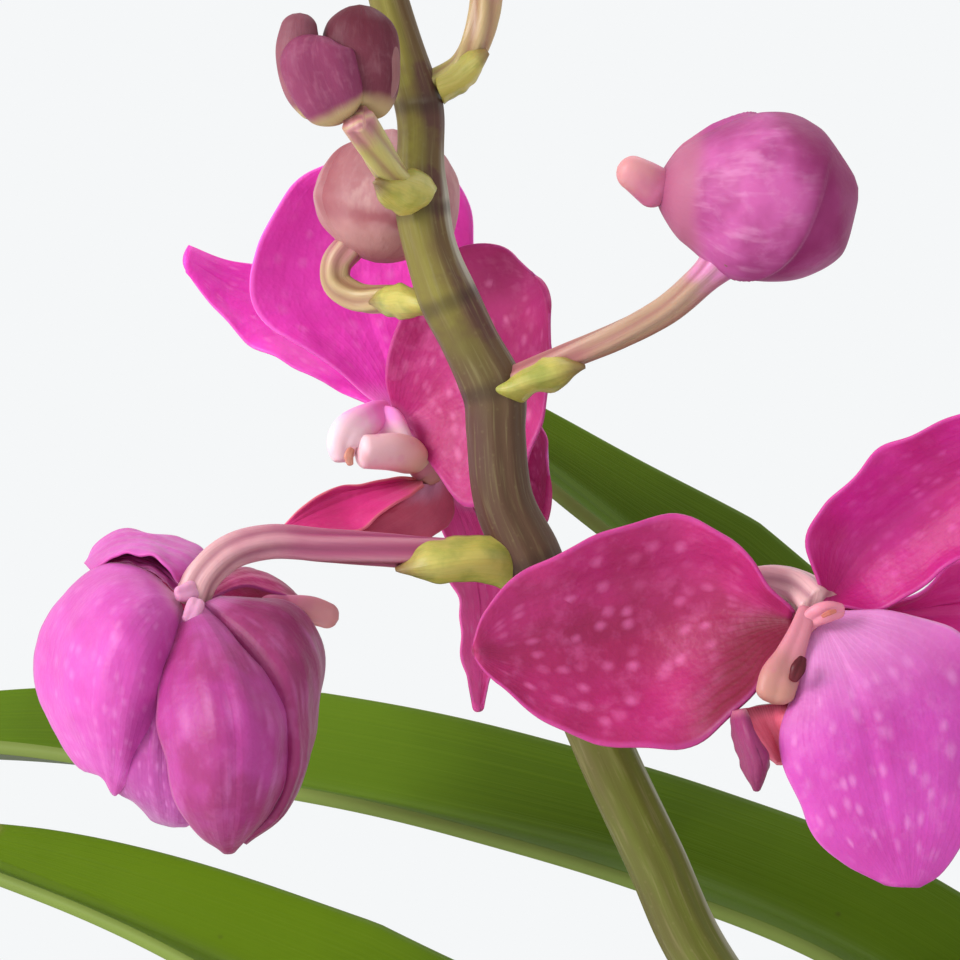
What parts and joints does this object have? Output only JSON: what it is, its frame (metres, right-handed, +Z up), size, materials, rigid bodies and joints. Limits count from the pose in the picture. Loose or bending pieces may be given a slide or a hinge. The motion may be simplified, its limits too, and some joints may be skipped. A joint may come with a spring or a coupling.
{
  "type": "potted vanda orchid",
  "caption": "Potted vanda orchid with strap leaves in two ranks and a leaning spike of magenta flowers and buds, in a plain terracotta pot of bark.",
  "frame": {"origin": "middle of the pot's underside", "axes": "+Z up along the plant's stem, -Y towards the front of the flower spike, -X towards the side the spike leans to"},
  "size_m": [0.4395, 0.1505, 0.4394],
  "materials": {
    "terracotta": "matte",
    "bark": "matte",
    "stem_green": "satin",
    "leaf_green": "satin",
    "root_grey": "matte",
    "spike_olive": "satin",
    "petal_magenta": "satin",
    "petal_lilac": "satin",
    "bud_pink": "satin",
    "column_cream": "satin",
    "lip_crimson": "satin",
    "bract_yellow": "satin"
  },
  "bodies": {
    "root": {"pot": "terracotta", "potting_bark": "bark", "plant_stem": "stem_green", "leaf_left_1": "leaf_green", "leaf_left_2": "leaf_green", "leaf_left_3": "leaf_green", "leaf_left_4": "leaf_green", "leaf_left_5": "leaf_green", "leaf_left_6": "leaf_green", "leaf_right_1": "leaf_green", "leaf_right_2": "leaf_green", "leaf_right_3": "leaf_green", "leaf_right_4": "leaf_green", "leaf_right_5": "leaf_green", "leaf_right_6": "leaf_green", "aerial_root_1": "root_grey", "aerial_root_2": "root_grey", "aerial_root_3": "root_grey", "aerial_root_4": "root_grey", "flower_spike": "spike_olive", "flower_a_tepals": "petal_magenta", "flower_a_column": "column_cream", "flower_a_lip": "lip_crimson", "flower_b_tepals": "petal_magenta", "flower_b_column": "column_cream", "flower_b_lip": "lip_crimson", "flower_c_tepals": "petal_lilac", "bud_d": "bud_pink", "bud_e": "bud_pink", "bud_f": "bud_pink", "bud_g": "bud_pink", "bract_c": "bract_yellow", "bract_d": "bract_yellow", "bract_e": "bract_yellow", "bract_f": "bract_yellow", "bract_g": "bract_yellow"}
  },
  "joints": []
}
